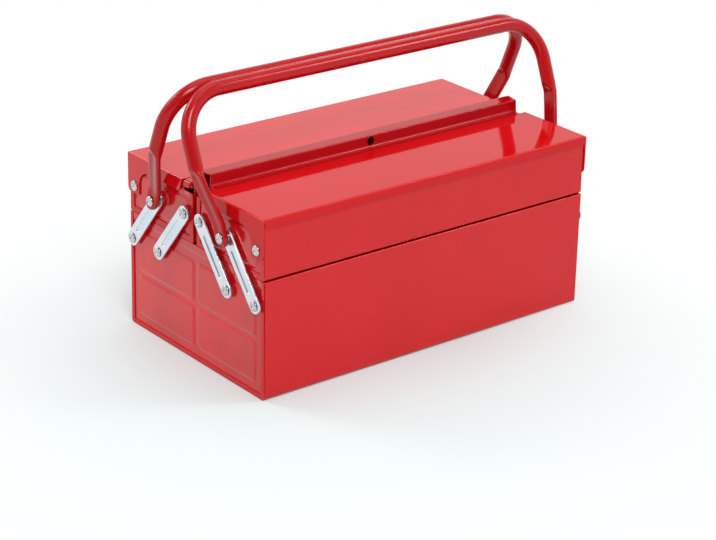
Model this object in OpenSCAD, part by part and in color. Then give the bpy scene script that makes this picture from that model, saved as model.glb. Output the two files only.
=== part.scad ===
// Cantilever tool box in sheet steel: a base, two upper trays that swing out on parallel links,
// a hinged lid on each tray and a bent tube handle on each side.
// X runs along the box, -Y is the front, Z is up. The origin is the middle of the base's underside.

/* [Base] */
// Length of the base over its corner flanges
box_l = 350; // [300:1:420]
// Depth of the base, front to back
box_w = 197; // [190:1:230]
// Height of the base
base_h = 105; // [100:1:130]
// Thickness of the sheet steel
sheet = 1; // [0.8:0.1:1.2]
// Outer radius of the long bends
bend_r = 3; // [2:0.5:5]
// Width of the flanges folded round the base's ends
base_flange_w = 4; // [2:0.5:4]
// Width of the flanges folded round the trays' ends
tray_flange_w = 5; // [2:0.5:5]
// Height of the hem along the base's top edges
hem_h = 6; // [4:1:10]

/* [Pressed end panels] */
// Height that a pressed panel or boss stands out of its plate
press_t = 1; // [0.6:0.1:1]
// Plain border around the four panels of a base end
panel_edge = 12.5; // [10:0.5:16]
// Plain border above the four panels
panel_top = 15; // [12:0.5:20]
// Plain strip between two panels
panel_gap = 5.5; // [4:0.5:10]
// Corner radius of a panel
panel_r = 4; // [2:0.5:6]
// Gap between the pressed boss behind a rivet and the flange beside it
boss_gap = 0.3; // [0.1:0.1:0.5]
// Corner radius of the panel on a tray's end
tray_panel_r = 6; // [3:0.5:8]
// Plain border between a tray panel and the tray's outer wall
tray_panel_out = 9; // [6:0.5:12]
// Plain border between a tray panel and the tray's inner wall
tray_panel_in = 6; // [5.5:0.5:9]
// Plain border below a tray panel
tray_panel_low = 7.5; // [6:0.5:12]
// Plain border above a tray panel
tray_panel_high = 14; // [10:0.5:16]

/* [Trays] */
// Gap between the base's top edge and the trays
tray_gap = 2; // [1:0.5:4]
// Height of the trays
tray_h = 50.4; // [45:0.2:60]
// Setback of a tray's outer wall from the base's face
tray_inset = 1; // [1:0.1:2]
// Gap between the two trays along the middle
middle_gap = 5; // [1:0.5:8]
// Length of the notch in a tray end's inner top corner
tray_notch_l = 15; // [10:0.5:20]
// Depth of that notch
tray_notch_h = 7.2; // [4:0.2:12]

/* [Lids] */
// Clearance between a lid's skirts and its tray
lid_clear = 0.4; // [0.3:0.05:0.5]
// Gap between a tray's top edges and its lid's underside
lid_rise = 1.6; // [1.6:0.1:2.4]
// Gap between the two lids along the middle
lid_gap = 0.8; // [0.6:0.1:2]
// Height of a lid's long outer skirt
skirt_h = 8; // [6:0.5:10]
// Height of a lid's end skirts
end_skirt_h = 12; // [10.5:0.5:14]
// Outer radius of the bends along a lid's edges
lid_bend_r = 2; // [1.5:0.5:4]
// Width of a hinge ear
ear_w = 16.7; // [15:0.1:22]
// Drop of a hinge ear's lower edge below the hinge
ear_drop = 6.7; // [5.5:0.1:9]
// Radius of a hinge ear's lower outer corner
ear_corner_r = 5; // [2:0.5:6]
// Radius of the hollow where a hinge ear meets its skirt
ear_fillet_r = 15; // [8:1:15]
// Distance of a lid hinge in from the lid's outer face
hinge_in = 9.9; // [9:0.1:12]
// Height of the lid hinges above the trays' underside
hinge_up = 24.2; // [20:0.1:28]
// Inset of the ridge's ends from the lid's ends
ridge_inset = 8; // [6:0.2:14]
// Overhang of the ridge's top beyond its ends, along its lip
ridge_over = 2; // [1:0.2:4]
// How much the ridge's top narrows towards its face, at each end
ridge_slant = 6; // [4:0.5:8]
// Height of the ridge above the lids
ridge_h = 11.5; // [11:0.5:16]
// Depth of the ridge, front to back
ridge_w = 13.6; // [10:0.1:18]
// Width of the ridge's welded foot
foot_w = 7; // [5:0.5:9]
// Length of the notch in the front lid's inner corners
front_notch_l = 19.4; // [16:0.2:24]
// Length of the notch in the rear lid's inner corners
rear_notch_l = 16.4; // [16:0.2:24]
// How far a skirt's end slants back towards its lower edge
notch_slant = 5; // [2:0.5:8]
// Distance of the tab in the rear lid's notch from the middle
tab_in = 6.4; // [4:0.2:7]
// Width of that tab
tab_w = 8.2; // [5:0.2:9]
// Height of that tab
tab_h = 5.5; // [4.5:0.1:7]
// Radius of the padlock hole
lock_r = 4; // [3:0.25:4]

/* [Links] */
// Distance of the outer lower pivots in from the base's long faces
outer_pivot_in = 8.9; // [8:0.1:12]
// Distance between the pivots of a pair of links
pivot_gap = 39.5; // [36:0.1:42]
// Distance of the lower pivots below the base's top edge
lower_pivot_down = 21.7; // [19:0.1:30]
// Height of the upper pivots above the trays' underside
upper_pivot_up = 24; // [20:0.1:26]
// Distance of the inner upper pivots in from the trays' inner walls
upper_pivot_in = 9; // [8:0.1:12]
// Width of a link
link_w = 14; // [12:0.5:15]
// Thickness of a link
link_t = 1.6; // [1.2:0.1:2]
// Length of the groove pressed into a link
groove_l = 31; // [20:1:36]
// Width of that groove
groove_w = 4.5; // [3:0.5:6]
// Depth of that groove
groove_d = 0.5; // [0.3:0.1:0.8]

/* [Rivets] */
// Radius of a rivet's shank
shank_r = 2.5; // [2:0.1:2.8]
// Radial clearance of a turning joint
pivot_clear = 0.06; // [0.02:0.01:0.1]
// Radial clearance at the open pivot of each linkage
open_clear = 0.3; // [0.2:0.05:0.4]
// Radius of a rivet's domed head
head_r = 4.6; // [4:0.1:5]
// Height of a rivet's domed head
head_t = 1.6; // [1.2:0.1:2]
// Radius of the collar that spaces a moving piece off its wall
collar_r = 4.5; // [3.6:0.1:4.8]
// Gap between the faces of neighbouring moving pieces
face_gap = 0.3; // [0.2:0.05:0.4]
// Distance from the tray ends' pressed face to the links
link_off = 2.4; // [2.2:0.1:4]

/* [Handles] */
// Diameter of the handle tube
tube_d = 12.5; // [11:0.5:14]
// Wall thickness of the handle tube
tube_wall = 1.2; // [1:0.1:2]
// Height of the grip's axis above the handle's pivots
handle_h = 119.5; // [110:0.5:135]
// Radius of the handle's bends at the tube's axis
handle_bend_r = 37.5; // [30:0.5:45]
// Distance from the handle's flattened end to the tube's axis
arm_splay = 10; // [6:0.5:14]
// Thickness of the flattened end
flat_t = 4.4; // [3.5:0.1:5]
// Width of the flattened end
flat_w = 15.5; // [14:0.5:17]
// Height of the flattened end above the pivot
flat_h = 46; // [40:1:50]
// Height above the pivot where the flattened end starts to splay
splay_h = 11; // [9:1:16]
// Gap between the two grips at rest
grip_gap = 0.6; // [0.4:0.1:2]

/* [Hidden] */
$fn = 48;

paint = "firebrick";
zinc = "gainsboro";
slop = 1;            // extra reach of a cutting shape
rivet_fit = 0.05;    // radial clearance of a rivet in its own wall
inner_head_t = 0.8;  // thickness of a rivet's flat inner head

// Along X, from the middle of the box outwards
half_l = box_l / 2;
plate_x = half_l - sheet;
link_x = half_l + link_off;
head_x = link_x + link_t + face_gap;
handle_x = head_x + head_t + face_gap;
handle_head_x = handle_x + flat_t + face_gap;
ear_x = half_l + lid_clear;
lid_half_l = ear_x + sheet;
hinge_head_x = lid_half_l + face_gap;
ridge_half_l = lid_half_l - ridge_inset;

// Across the box, from the middle outwards
tray_in_y = middle_gap / 2;
tray_out_y = box_w / 2 - tray_inset;
lid_in_y = lid_gap / 2;
lid_out_y = tray_out_y + lid_clear + sheet;
hinge_y = lid_out_y - hinge_in;
outer_pivot_y = box_w / 2 - outer_pivot_in;
inner_pivot_y = outer_pivot_y - pivot_gap;
handle_y = tray_in_y + upper_pivot_in + pivot_gap;
ridge_y = lid_in_y + ridge_w;
base_boss_r = outer_pivot_in - base_flange_w - boss_gap;
tray_boss_r = upper_pivot_in - tray_flange_w - boss_gap;
hinge_boss_r = tray_out_y - hinge_y - tray_flange_w - boss_gap;

// Up from the ground
tray_z = base_h + tray_gap;
tray_top_z = tray_z + tray_h;
lid_z = tray_top_z + lid_rise + sheet;
hinge_z = tray_z + hinge_up;
lower_pivot_z = base_h - lower_pivot_down;
upper_pivot_z = tray_z + upper_pivot_up;
ridge_z = lid_z + ridge_h;
lock_z = lid_z + sheet + (ridge_h - sheet) / 2;

link_dy = outer_pivot_y - handle_y;
link_dz = upper_pivot_z - lower_pivot_z;
link_len = norm([link_dy, link_dz]);
link_lean = atan2(link_dy, link_dz);  // lean of the closed links towards the middle

tube_r = tube_d / 2;
grip_y = tube_r + grip_gap / 2;
handle_lean = asin((handle_y - grip_y) / handle_h);
arm_x = handle_x + flat_t / 2 + arm_splay;

// A YZ outline drawn in the XY plane, raised along X between x0 and x1
module along_x(x0, x1) {
    translate([x0, 0, 0]) rotate([90, 0, 90]) linear_extrude(height = x1 - x0) children();
}

// The same piece at the left end and at the front or rear
module left_end() { mirror([1, 0, 0]) children(); }
module rear_side() { mirror([0, 1, 0]) children(); }

// Rectangle from (y0, z0) to (y1, z1) with all corners rounded
module round_box(y0, z0, y1, z1, r) {
    translate([y0 + r, z0]) square([y1 - y0 - 2 * r, z1 - z0]);
    translate([y0, z0 + r]) square([y1 - y0, z1 - z0 - 2 * r]);
    for (y = [y0 + r, y1 - r], z = [z0 + r, z1 - r]) translate([y, z]) circle(r = r);
}

// Rectangle whose two lower corners are rounded
module trough(y0, z0, y1, z1, r) {
    translate([y0 + r, z0]) square([y1 - y0 - 2 * r, z1 - z0]);
    translate([y0, z0 + r]) square([y1 - y0, z1 - z0 - r]);
    for (y = [y0 + r, y1 - r]) translate([y, z0 + r]) circle(r = r);
}

// Upright slot shape of width w with round ends, from z0 to z1
module slot_shape(z0, z1, w) {
    translate([-w / 2, z0 + w / 2]) square([w, z1 - z0 - w]);
    for (z = [z0 + w / 2, z1 - w / 2]) translate([0, z]) circle(d = w);
}

// What a rounded edge of radius r takes off the upper corner at (y, z)
module edge_waste(y, z, r) {
    difference() {
        translate([y - slop, z - r]) square([r + slop, r + slop]);
        translate([y + r, z - r]) circle(r = r);
    }
}

// One sheet folded into two long walls and a floor, with flanges folded round both ends
module wrap(y0, y1, z0, z1, flange_w) {
    difference() {
        along_x(-half_l, half_l) trough(y0, z0, y1, z1, bend_r);
        along_x(-plate_x, plate_x) trough(y0 + sheet, z0 + sheet, y1 - sheet, z1 + slop, bend_r - sheet);
        along_x(-half_l - slop, half_l + slop)
            translate([y0 + flange_w, z0 + flange_w]) square([y1 - y0 - 2 * flange_w, z1 - z0]);
    }
}

// End plate that fits inside a wrap, without its pressed shapes
module end_plate(y0, y1, z0, z1) {
    along_x(plate_x - sheet, plate_x) trough(y0 + sheet, z0 + sheet, y1 - sheet, z1, bend_r - sheet);
}

// Pressed shape that stands out of an end plate: the skin stays one sheet thick
module pressed() {
    along_x(plate_x, plate_x + press_t) children();
}

module shank_holes(ys, z, r) {
    for (y = ys) translate([plate_x - sheet - slop, y, z]) rotate([0, 90, 0])
        cylinder(r = r, h = sheet + press_t + 2 * slop);
}

// Solid of revolution about X: each step is [x0, x1, radius], and a dome stands on dome_x
module rivet(y, z, steps, dome_x) {
    translate([0, y, z]) rotate([0, 90, 0]) {
        for (step = steps) translate([0, 0, step[0]]) cylinder(r = step[2], h = step[1] - step[0]);
        dome_ball = (head_r * head_r + head_t * head_t) / (2 * head_t);
        intersection() {
            translate([0, 0, dome_x + head_t - dome_ball]) sphere(r = dome_ball);
            translate([0, 0, dome_x]) cylinder(r = head_r, h = head_t);
        }
    }
}

inner_steps = [[plate_x - sheet - inner_head_t, plate_x - sheet, collar_r],
    [plate_x - sheet, half_l, shank_r]];

// Rivet that carries one link: flat inner head, collar, shank and dome
module link_rivet(y, z) {
    steps = concat(inner_steps, [[half_l, link_x - face_gap, collar_r],
        [link_x - face_gap, head_x, shank_r]]);
    rivet(y, z, steps, head_x);
}

// Longer rivet that carries a link and the handle's flattened end outside it
module handle_rivet(y, z) {
    steps = concat(inner_steps, [[half_l, link_x - face_gap, collar_r],
        [link_x - face_gap, head_x, shank_r], [head_x, handle_x - face_gap, collar_r],
        [handle_x - face_gap, handle_head_x, shank_r]]);
    rivet(y, z, steps, handle_head_x);
}

// Short rivet that carries a lid's ear
module hinge_rivet(y, z) {
    rivet(y, z, concat(inner_steps, [[half_l, hinge_head_x, shank_r]]), hinge_head_x);
}

// Folded sheet of the base, with a hem folded in along each long top edge
module base_wrap() {
    half_w = box_w / 2;
    color(paint) {
        wrap(-half_w, half_w, 0, base_h, base_flange_w);
        for (side = [0, 1]) mirror([0, side, 0])
            translate([sheet - plate_x, half_w - 2 * sheet, base_h - hem_h])
                cube([2 * (plate_x - sheet), 1.5 * sheet, hem_h]);
    }
}

// The four pressed panels of a base end
module base_panels() {
    y_out = box_w / 2 - panel_edge;
    z_low = panel_edge;
    z_high = base_h - panel_top;
    z_mid = (z_low + z_high) / 2;
    for (y = [-y_out, panel_gap / 2], z = [z_low, z_mid + panel_gap / 2])
        round_box(y, z, y + y_out - panel_gap / 2, z + (z_high - z_low - panel_gap) / 2, panel_r);
}

module base_end() {
    half_w = box_w / 2;
    ys = [-outer_pivot_y, -inner_pivot_y, inner_pivot_y, outer_pivot_y];
    color(paint) difference() {
        union() {
            end_plate(-half_w, half_w, 0, base_h);
            pressed() {
                base_panels();
                for (y = ys) translate([y, lower_pivot_z]) circle(r = base_boss_r);
            }
        }
        shank_holes(ys, lower_pivot_z, shank_r + rivet_fit);
    }
}

module base_rivets() {
    color(zinc) for (y = [-outer_pivot_y, -inner_pivot_y, inner_pivot_y, outer_pivot_y])
        link_rivet(y, lower_pivot_z);
}

// What is cut out of a tray's inner top corners, at both ends
module tray_notches() {
    for (side = [0, 1]) mirror([side, 0, 0])
        translate([plate_x - sheet, -tray_in_y - tray_notch_l, tray_top_z - tray_notch_h])
            cube([2 * sheet + slop, tray_notch_l + slop, tray_notch_h + slop]);
}

// Front tray's folded sheet: outer wall, floor and inner wall
module tray_wrap() {
    color(paint) difference() {
        wrap(-tray_out_y, -tray_in_y, tray_z, tray_top_z, tray_flange_w);
        tray_notches();
    }
}

// The pressed panel of a tray's end, with a boss round each rivet
module tray_panel() {
    round_box(tray_panel_out - tray_out_y, tray_z + tray_panel_low, -tray_in_y - tray_panel_in,
        tray_top_z - tray_panel_high, tray_panel_r);
    translate([pivot_gap - handle_y, upper_pivot_z]) circle(r = tray_boss_r);
    translate([-hinge_y, hinge_z]) circle(r = hinge_boss_r);
}

module tray_end() {
    link_ys = [-handle_y, pivot_gap - handle_y];
    color(paint) difference() {
        union() {
            end_plate(-tray_out_y, -tray_in_y, tray_z, tray_top_z);
            pressed() tray_panel();
        }
        tray_notches();
        shank_holes(link_ys, upper_pivot_z, shank_r + rivet_fit);
        shank_holes([-hinge_y], hinge_z, shank_r + rivet_fit);
    }
}

module both_ends() {
    children();
    left_end() children();
}

module tray_rivets() { color(zinc) both_ends() link_rivet(pivot_gap - handle_y, upper_pivot_z); }

module handle_rivets() { color(zinc) both_ends() handle_rivet(-handle_y, upper_pivot_z); }

module lid_rivets() { color(zinc) both_ends() hinge_rivet(-hinge_y, hinge_z); }

// Outline of a hinge ear: a strip with one round corner, hollowed out to meet the skirt
module ear_outline() {
    low_z = hinge_z - ear_drop;
    skirt_z = lid_z - end_skirt_h;
    inner_y = -lid_out_y + ear_w;
    translate([-lid_out_y, low_z + ear_corner_r]) square([ear_w, skirt_z + slop - low_z - ear_corner_r]);
    translate([-lid_out_y + ear_corner_r, low_z]) square([ear_w - ear_corner_r, ear_corner_r]);
    translate([-lid_out_y + ear_corner_r, low_z + ear_corner_r]) circle(r = ear_corner_r);
    difference() {
        translate([inner_y - slop, skirt_z - ear_fillet_r])
            square([ear_fillet_r + slop, ear_fillet_r + slop]);
        translate([inner_y + ear_fillet_r, skirt_z - ear_fillet_r]) circle(r = ear_fillet_r);
    }
}

// Lid pressed from one sheet: a top that ends at inner_y, skirts on three sides, two hinge ears
// and a notch of length notch_l in each inner corner
module lid(inner_y, notch_l) {
    z_low = lid_z - end_skirt_h;
    color(paint) difference() {
        union() {
            difference() {
                lid_block(inner_y, z_low);
                translate([-ear_x, sheet - lid_out_y, z_low - slop])
                    cube([2 * ear_x, lid_out_y, end_skirt_h + slop - sheet]);
                translate([-ear_x, -lid_out_y - slop, z_low - slop])
                    cube([2 * ear_x, 2 * (sheet + slop), end_skirt_h + slop - skirt_h]);
            }
            both_ends() along_x(ear_x, lid_half_l) ear_outline();
        }
        both_ends() {
            along_x(ridge_half_l, lid_half_l + slop)
                polygon([[-notch_l, lid_z + slop], [-notch_l, lid_z - sheet],
                    [-notch_l - notch_slant, z_low - slop], [slop, z_low - slop], [slop, lid_z + slop]]);
            translate([ear_x - slop, -hinge_y, hinge_z]) rotate([0, 90, 0])
                cylinder(r = shank_r + pivot_clear, h = sheet + 2 * slop);
        }
    }
}

// Solid block of a lid's outer size, with rounded long and end edges
module lid_block(inner_y, z_low) {
    intersection() {
        along_x(-lid_half_l, lid_half_l) difference() {
            translate([-lid_out_y, z_low]) square([lid_out_y - inner_y, lid_z - z_low]);
            edge_waste(-lid_out_y, lid_z, lid_bend_r);
        }
        translate([0, -inner_y, 0]) rotate([90, 0, 0]) linear_extrude(height = lid_out_y)
            difference() {
                translate([-lid_half_l, z_low]) square([2 * lid_half_l, lid_z - z_low]);
                edge_waste(-lid_half_l, lid_z, lid_bend_r);
                mirror([1, 0]) edge_waste(-lid_half_l, lid_z, lid_bend_r);
            }
    }
}

// Tab turned down in the rear lid's notch, with round lower corners
module corner_tab() {
    tab_r = tab_w / 3;
    low_z = lid_z - tab_h;
    intersection() {
        translate([0, -tab_in, 0]) rotate([90, 0, 0]) linear_extrude(height = tab_w) difference() {
            translate([ridge_half_l - slop, low_z]) square([lid_half_l - ridge_half_l + slop, tab_h]);
            mirror([1, 0]) edge_waste(-lid_half_l, lid_z, 2 * lid_bend_r);
            difference() {
                translate([ridge_half_l - 2 * slop, low_z - slop])
                    square([ear_x - ridge_half_l + 2 * slop, tab_h + slop - sheet]);
                mirror([1, 0]) edge_waste(-ear_x, lid_z - sheet, 2 * lid_bend_r - sheet);
            }
        }
        along_x(ridge_half_l - slop, lid_half_l)
            round_box(-tab_in - tab_w, low_z, -tab_in, lid_z + tab_h, tab_r);
    }
}

module rear_lid() {
    lid(lid_in_y, rear_notch_l);
    color(paint) both_ends() corner_tab();
}

module lock_hole(y) {
    translate([0, y + slop, lock_z]) rotate([90, 0, 0]) cylinder(r = lock_r, h = sheet + 2 * slop);
}

// Ridge on the front lid: a welded foot, an upright face, a top and a lip along the middle
module front_ridge() {
    lip_l = ridge_half_l + ridge_over;
    face_l = lip_l - ridge_slant;
    color(paint) difference() {
        union() {
            along_x(-ridge_half_l, ridge_half_l) {
                translate([-ridge_y - foot_w + sheet, lid_z]) square([foot_w, sheet]);
                translate([-lid_in_y - sheet, lid_z - sheet]) square([sheet, ridge_h + sheet]);
            }
            translate([0, sheet - ridge_y, 0]) rotate([90, 0, 0]) linear_extrude(height = sheet)
                difference() {
                    translate([-ridge_half_l, lid_z]) square([2 * ridge_half_l, ridge_h]);
                    edge_waste(-ridge_half_l, ridge_z, lid_bend_r);
                    mirror([1, 0]) edge_waste(-ridge_half_l, ridge_z, lid_bend_r);
                }
            translate([0, 0, ridge_z - sheet]) linear_extrude(height = sheet)
                polygon([[-lip_l, -lid_in_y], [lip_l, -lid_in_y], [face_l, -ridge_y + sheet / 2],
                    [-face_l, -ridge_y + sheet / 2]]);
        }
        along_x(-lip_l, lip_l) edge_waste(-ridge_y, ridge_z, sheet);
        lock_hole(-ridge_y + sheet);
        lock_hole(-lid_in_y);
    }
}

// Upright flange on the rear lid, behind the ridge's lip
module rear_flange() {
    color(paint) difference() {
        along_x(-ridge_half_l, ridge_half_l) {
            translate([lid_in_y, lid_z]) square([foot_w, sheet]);
            translate([lid_in_y, lid_z]) square([sheet, ridge_h - sheet]);
        }
        lock_hole(lid_in_y + sheet);
    }
}

// Flat link with round ends, a pressed groove and two pivot holes
module link(low_y, top_clear) {
    color(zinc) translate([link_x, low_y, lower_pivot_z]) rotate([-link_lean, 0, 0]) difference() {
        along_x(0, link_t) slot_shape(-link_w / 2, link_len + link_w / 2, link_w);
        along_x(link_t - groove_d, link_t + slop)
            slot_shape((link_len - groove_l) / 2, (link_len + groove_l) / 2, groove_w);
        link_hole(0, pivot_clear);
        link_hole(link_len, top_clear);
    }
}

module link_hole(z, clear) {
    translate([-slop, 0, z]) rotate([0, 90, 0]) cylinder(r = shank_r + clear, h = link_t + 2 * slop);
}

// Arm, bend and half of the grip at the tube's axis, for a round bar of diameter d
module bent_bar(d, from_h) {
    leg_top = handle_h - handle_bend_r;
    grip_half = arm_x - handle_bend_r;
    translate([arm_x, 0, from_h]) cylinder(d = d, h = leg_top - from_h);
    translate([grip_half, 0, leg_top]) rotate([90, 0, 0])
        rotate_extrude(angle = 90) translate([handle_bend_r, 0]) circle(d = d);
    translate([-slop, 0, handle_h]) rotate([0, 90, 0]) cylinder(d = d, h = grip_half + slop);
}

// Flattened end of an arm: it stands upright round the pivot, then splays out to the tube's axis
module flat_end() {
    out_x = handle_x + flat_t;
    intersection() {
        translate([0, flat_w / 2, 0]) rotate([90, 0, 0]) linear_extrude(height = flat_w)
            polygon([[handle_x, -flat_w], [out_x, -flat_w], [out_x, splay_h],
                [out_x + arm_splay, flat_h], [handle_x + arm_splay, flat_h], [handle_x, splay_h]]);
        along_x(handle_x - slop, out_x + arm_splay + slop) {
            circle(d = flat_w);
            translate([-flat_w / 2, 0]) square([flat_w, flat_h]);
        }
    }
}

// Right half of the handle: flattened end, blend, tube arm, bend and half of the grip
module half_handle() {
    blend_h = flat_h + tube_d;
    difference() {
        union() {
            flat_end();
            hull() {
                translate([arm_x - flat_t / 2, -flat_w / 2, flat_h - slop]) cube([flat_t, flat_w, slop]);
                translate([arm_x, 0, blend_h]) cylinder(d = tube_d, h = slop, $fn = 32);
            }
            bent_bar(tube_d, blend_h);
        }
        bent_bar(tube_d - 2 * tube_wall, blend_h + 2 * slop);
        translate([handle_x - slop, 0, 0]) rotate([0, 90, 0])
            cylinder(r = shank_r + pivot_clear, h = flat_t + 2 * slop);
    }
}

module handle() {
    color(paint) translate([0, -handle_y, upper_pivot_z]) rotate([-handle_lean, 0, 0])
        both_ends() half_handle();
}

base_wrap();
left_end() base_end();  // base_end_left
base_end();  // base_end_right
left_end() base_rivets();  // base_rivets_left
base_rivets();  // base_rivets_right

tray_wrap();  // front_tray_wrap
left_end() tray_end();  // front_tray_end_left
tray_end();  // front_tray_end_right
tray_rivets();  // front_tray_rivets
handle_rivets();  // front_handle_rivets
lid_rivets();  // front_lid_rivets
lid(ridge_y - sheet, front_notch_l);  // front_lid
front_ridge();  // front_lid_ridge
handle();  // front_handle
left_end() link(-outer_pivot_y, pivot_clear);  // front_outer_link_left
link(-outer_pivot_y, pivot_clear);  // front_outer_link_right
left_end() link(-inner_pivot_y, open_clear);  // front_inner_link_left
link(-inner_pivot_y, open_clear);  // front_inner_link_right

rear_side() tray_wrap();  // rear_tray_wrap
rear_side() left_end() tray_end();  // rear_tray_end_left
rear_side() tray_end();  // rear_tray_end_right
rear_side() tray_rivets();  // rear_tray_rivets
rear_side() handle_rivets();  // rear_handle_rivets
rear_side() lid_rivets();  // rear_lid_rivets
rear_side() rear_lid();
rear_flange();  // rear_lid_flange
rear_side() handle();  // rear_handle
rear_side() left_end() link(-outer_pivot_y, pivot_clear);  // rear_outer_link_left
rear_side() link(-outer_pivot_y, pivot_clear);  // rear_outer_link_right
rear_side() left_end() link(-inner_pivot_y, open_clear);  // rear_inner_link_left
rear_side() link(-inner_pivot_y, open_clear);  // rear_inner_link_right
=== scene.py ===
# %% [markdown]
# # A cantilever tool box in red sheet steel
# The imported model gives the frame: its bodies, its joints and one plain solid for each part.
# This lesson dresses that frame. Each step says what the piece is on the real box, how it
# could be made, and why it is made this way. Lengths are in metres, X runs along the box,
# -Y is the front and Z is up.

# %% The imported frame
import math

import bmesh
import bpy
from mathutils import Matrix, Vector


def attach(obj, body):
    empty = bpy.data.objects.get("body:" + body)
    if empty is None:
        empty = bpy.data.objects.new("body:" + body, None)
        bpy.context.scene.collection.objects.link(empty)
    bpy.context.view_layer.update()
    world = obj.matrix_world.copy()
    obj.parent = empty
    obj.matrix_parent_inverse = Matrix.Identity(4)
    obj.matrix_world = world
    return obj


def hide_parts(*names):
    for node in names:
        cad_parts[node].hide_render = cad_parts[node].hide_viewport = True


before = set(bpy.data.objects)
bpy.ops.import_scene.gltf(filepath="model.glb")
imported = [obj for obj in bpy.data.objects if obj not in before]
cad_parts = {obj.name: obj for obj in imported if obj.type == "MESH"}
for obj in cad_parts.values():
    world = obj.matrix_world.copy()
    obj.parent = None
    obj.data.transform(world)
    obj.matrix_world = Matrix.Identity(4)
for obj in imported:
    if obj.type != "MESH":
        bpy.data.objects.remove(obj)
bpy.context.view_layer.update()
scene = bpy.context.scene
MM = 0.001

# %% [markdown]
# ## The camera
# The photograph looks down on the front left corner of the box from about 23 degrees. The
# view was found by fitting the box's known corners to the picture. The camera is made first.

# %% Camera
CAMERA_AT = Vector((-1.1695, -1.4546, 0.8329))
LOOK_AT = Vector((-0.088, -0.110, 0.100))
ROLL = math.radians(1.41)
SENSOR = 36.0
FOCAL_PIXELS = 2276
PICTURE_WIDTH = 716
camera_data = bpy.data.cameras.new("view")
camera_data.sensor_width = SENSOR
camera_data.lens = SENSOR * FOCAL_PIXELS / PICTURE_WIDTH
camera_data.clip_end = 20
camera = bpy.data.objects.new("view", camera_data)
scene.collection.objects.link(camera)
ahead = (LOOK_AT - CAMERA_AT).normalized()
level_right = ahead.cross(Vector((0, 0, 1))).normalized()
level_up = level_right.cross(ahead)
right = level_right * math.cos(ROLL) + level_up * math.sin(ROLL)
up = level_up * math.cos(ROLL) - level_right * math.sin(ROLL)
turned = Matrix((right, up, -ahead)).transposed()
camera.matrix_world = Matrix.Translation(CAMERA_AT) @ turned.to_4x4()
scene.camera = camera
print("camera lens:", round(camera_data.lens, 1), "mm")

# %% [markdown]
# ## Node groups
# Two effects are needed by more than one finish: the film of enamel and the skin of zinc. A
# node group holds each effect once, with named inputs, and every material sets its own
# values. The groups give out only colours, roughness and height, and the shader itself stays
# in the material.

# %% Helpers for nodes
def empty_group(name, inputs, outputs):
    """A shader node group with float inputs (or colours) and the named outputs."""
    group = bpy.data.node_groups.new(name, "ShaderNodeTree")
    for title, value in inputs:
        kind = "NodeSocketColor" if isinstance(value, tuple) else "NodeSocketFloat"
        group.interface.new_socket(title, in_out="INPUT", socket_type=kind).default_value = value
    for title, kind in outputs:
        group.interface.new_socket(title, in_out="OUTPUT", socket_type="NodeSocket" + kind)
    entry = group.nodes.new("NodeGroupInput")
    leave = group.nodes.new("NodeGroupOutput")
    return group, entry, leave


def noise(tree, place, scale, detail=2.0):
    """A noise on Object coordinates with a set or linked number of cells per metre."""
    node = tree.nodes.new("ShaderNodeTexNoise")
    node.inputs["Detail"].default_value = detail
    tree.links.new(place, node.inputs["Vector"])
    if isinstance(scale, (int, float)):
        node.inputs["Scale"].default_value = scale
    else:
        tree.links.new(scale, node.inputs["Scale"])
    return node.outputs["Fac"]


def maths(tree, operation, first, second):
    """One sum on two values, each a number or a socket."""
    node = tree.nodes.new("ShaderNodeMath")
    node.operation = operation
    for socket, value in zip(node.inputs, (first, second)):
        if isinstance(value, (int, float)):
            socket.default_value = value
        else:
            tree.links.new(value, socket)
    return node.outputs[0]


def spread(tree, value, low, high, to_low=0.0, to_high=1.0):
    """Stretches a band of a value to a new range."""
    node = tree.nodes.new("ShaderNodeMapRange")
    node.interpolation_type = "SMOOTHSTEP"
    tree.links.new(value, node.inputs["Value"])
    for title, number in (("From Min", low), ("From Max", high), ("To Min", to_low), ("To Max", to_high)):
        node.inputs[title].default_value = number
    return node.outputs["Result"]


def blended(tree, share, first, second):
    """A mix of two colours by a share."""
    node = tree.nodes.new("ShaderNodeMix")
    node.data_type = "RGBA"
    tree.links.new(share, node.inputs["Factor"])
    for socket, value in ((node.inputs["A"], first), (node.inputs["B"], second)):
        if isinstance(value, tuple):
            socket.default_value = value
        else:
            tree.links.new(value, socket)
    return node.outputs["Result"]


print("node helpers ready")

# %% [markdown]
# ## The enamel film
# Sprayed enamel is never quite even: the film is a little thicker here and thinner there, its
# surface has the fine dimples that sprayers call orange peel, and hands leave slightly duller
# patches. Three noises on Object coordinates give these: patches of about 60 to 140 mm, peel
# of about 2 to 3 mm, and duller places of about 30 mm.

# %% Enamel film group
HAND_MARKS = 33.0
enamel_film, film_in, film_out = empty_group(
    "enamel_film",
    [("Colour", (0.5, 0.0, 0.0, 1.0)), ("Thin colour", (0.6, 0.02, 0.02, 1.0)), ("Patch size", 11.0),
     ("Peel size", 420.0), ("Gloss roughness", 0.2), ("Smudge", 0.1)],
    [("Colour", "Color"), ("Roughness", "Float"), ("Height", "Float")])
place = enamel_film.nodes.new("ShaderNodeTexCoord").outputs["Object"]
patches = spread(enamel_film, noise(enamel_film, place, film_in.outputs["Patch size"], 3.0), 0.35, 0.65)
film_colour = blended(enamel_film, patches, film_in.outputs["Colour"], film_in.outputs["Thin colour"])
handled = spread(enamel_film, noise(enamel_film, place, HAND_MARKS, 4.0), 0.4, 0.7)
dulling = maths(enamel_film, "MULTIPLY", handled, film_in.outputs["Smudge"])
enamel_film.links.new(film_colour, film_out.inputs["Colour"])
enamel_film.links.new(maths(enamel_film, "ADD", dulling, film_in.outputs["Gloss roughness"]),
                      film_out.inputs["Roughness"])
peel = noise(enamel_film, place, film_in.outputs["Peel size"], 1.0)
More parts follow.
